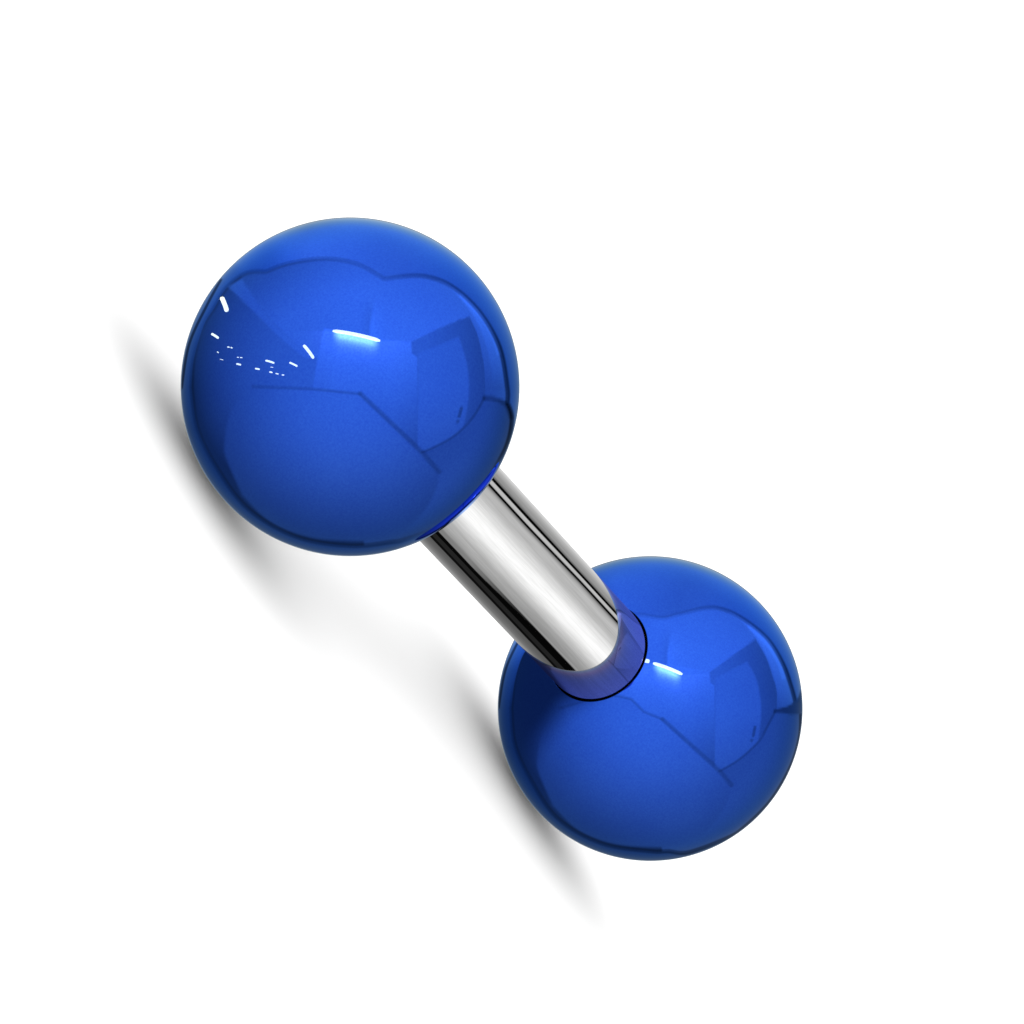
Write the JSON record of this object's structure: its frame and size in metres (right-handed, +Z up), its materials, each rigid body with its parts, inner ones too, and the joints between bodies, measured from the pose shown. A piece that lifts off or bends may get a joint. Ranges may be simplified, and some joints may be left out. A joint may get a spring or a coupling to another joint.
{
  "type": "tragus stud",
  "caption": "Straight barbell stud for a tragus or cartilage piercing: a polished steel bar with a screw-on blue metallic ball at each end.",
  "frame": {"origin": "on the surface that the stud lies on, below the middle of the bar", "axes": "+X along the bar from the near ball to the far ball, +Z up, and +Y across the bar"},
  "size_m": [0.0104, 0.003, 0.003],
  "materials": {
    "polished_steel": "mirror-polished surgical steel, drawn and polished along the bar",
    "blue_coating": "glossy metallic royal blue coating with a fine sparkle over steel"
  },
  "bodies": {
    "bar": {"bar": "polished_steel"},
    "near_ball": {"near_ball": "blue_coating"},
    "far_ball": {"far_ball": "blue_coating"}
  },
  "joints": [
    {"name": "near_ball_unscrews", "type": "slide", "parent": "bar", "child": "near_ball", "axis": [-1, 0, 0], "range_m": [0, 0.0022]},
    {"name": "far_ball_unscrews", "type": "slide", "parent": "bar", "child": "far_ball", "axis": [1, 0, 0], "range_m": [0, 0.0022]}
  ]
}
